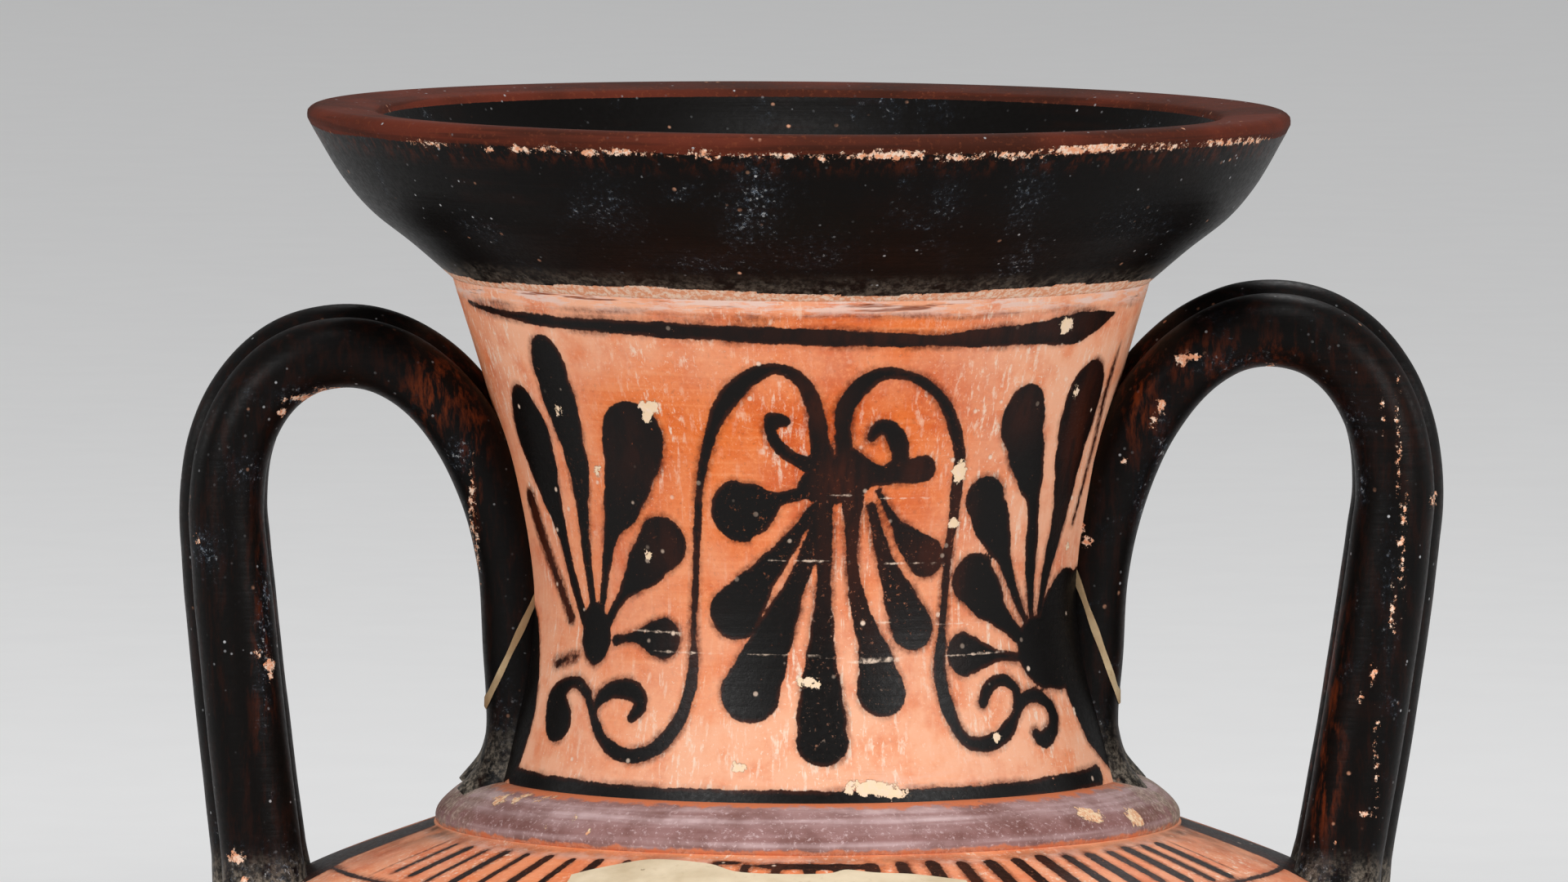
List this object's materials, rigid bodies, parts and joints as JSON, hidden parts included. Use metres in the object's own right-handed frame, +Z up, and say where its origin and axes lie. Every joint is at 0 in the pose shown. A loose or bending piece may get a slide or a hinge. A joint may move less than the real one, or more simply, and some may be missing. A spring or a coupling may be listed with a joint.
{
  "type": "amphora",
  "caption": "Painted clay neck amphora: flaring mouth, waisted neck, two reeded arched handles, ovoid hollow body and round foot, for storing and pouring wine or oil.",
  "frame": {"origin": "centre of the foot's resting plane, on the axis of revolution", "axes": "+Z up along the axis of revolution; the handles stand out along -X and +X; the painted front faces -Y"},
  "size_m": [0.194, 0.194, 0.302],
  "materials": {
    "black_gloss": "glossy black slip, worn brown on the edges, with pale bloom",
    "orange_clay": "burnished orange clay with black painted ornament",
    "purple_wash": "matte purple-red wash, chalky in places",
    "plaster": "matte cream plaster fill"
  },
  "bodies": {
    "root": {"foot": "black_gloss", "foot_fillet": "purple_wash", "lower_body": "orange_clay", "shoulder": "orange_clay", "shoulder_fill": "plaster", "neck_collar": "purple_wash", "neck": "orange_clay", "mouth": "black_gloss", "handle_left": "black_gloss", "handle_left_root": "black_gloss", "handle_left_seam": "plaster", "handle_right": "black_gloss", "handle_right_root": "black_gloss", "handle_right_seam": "plaster"}
  },
  "joints": []
}
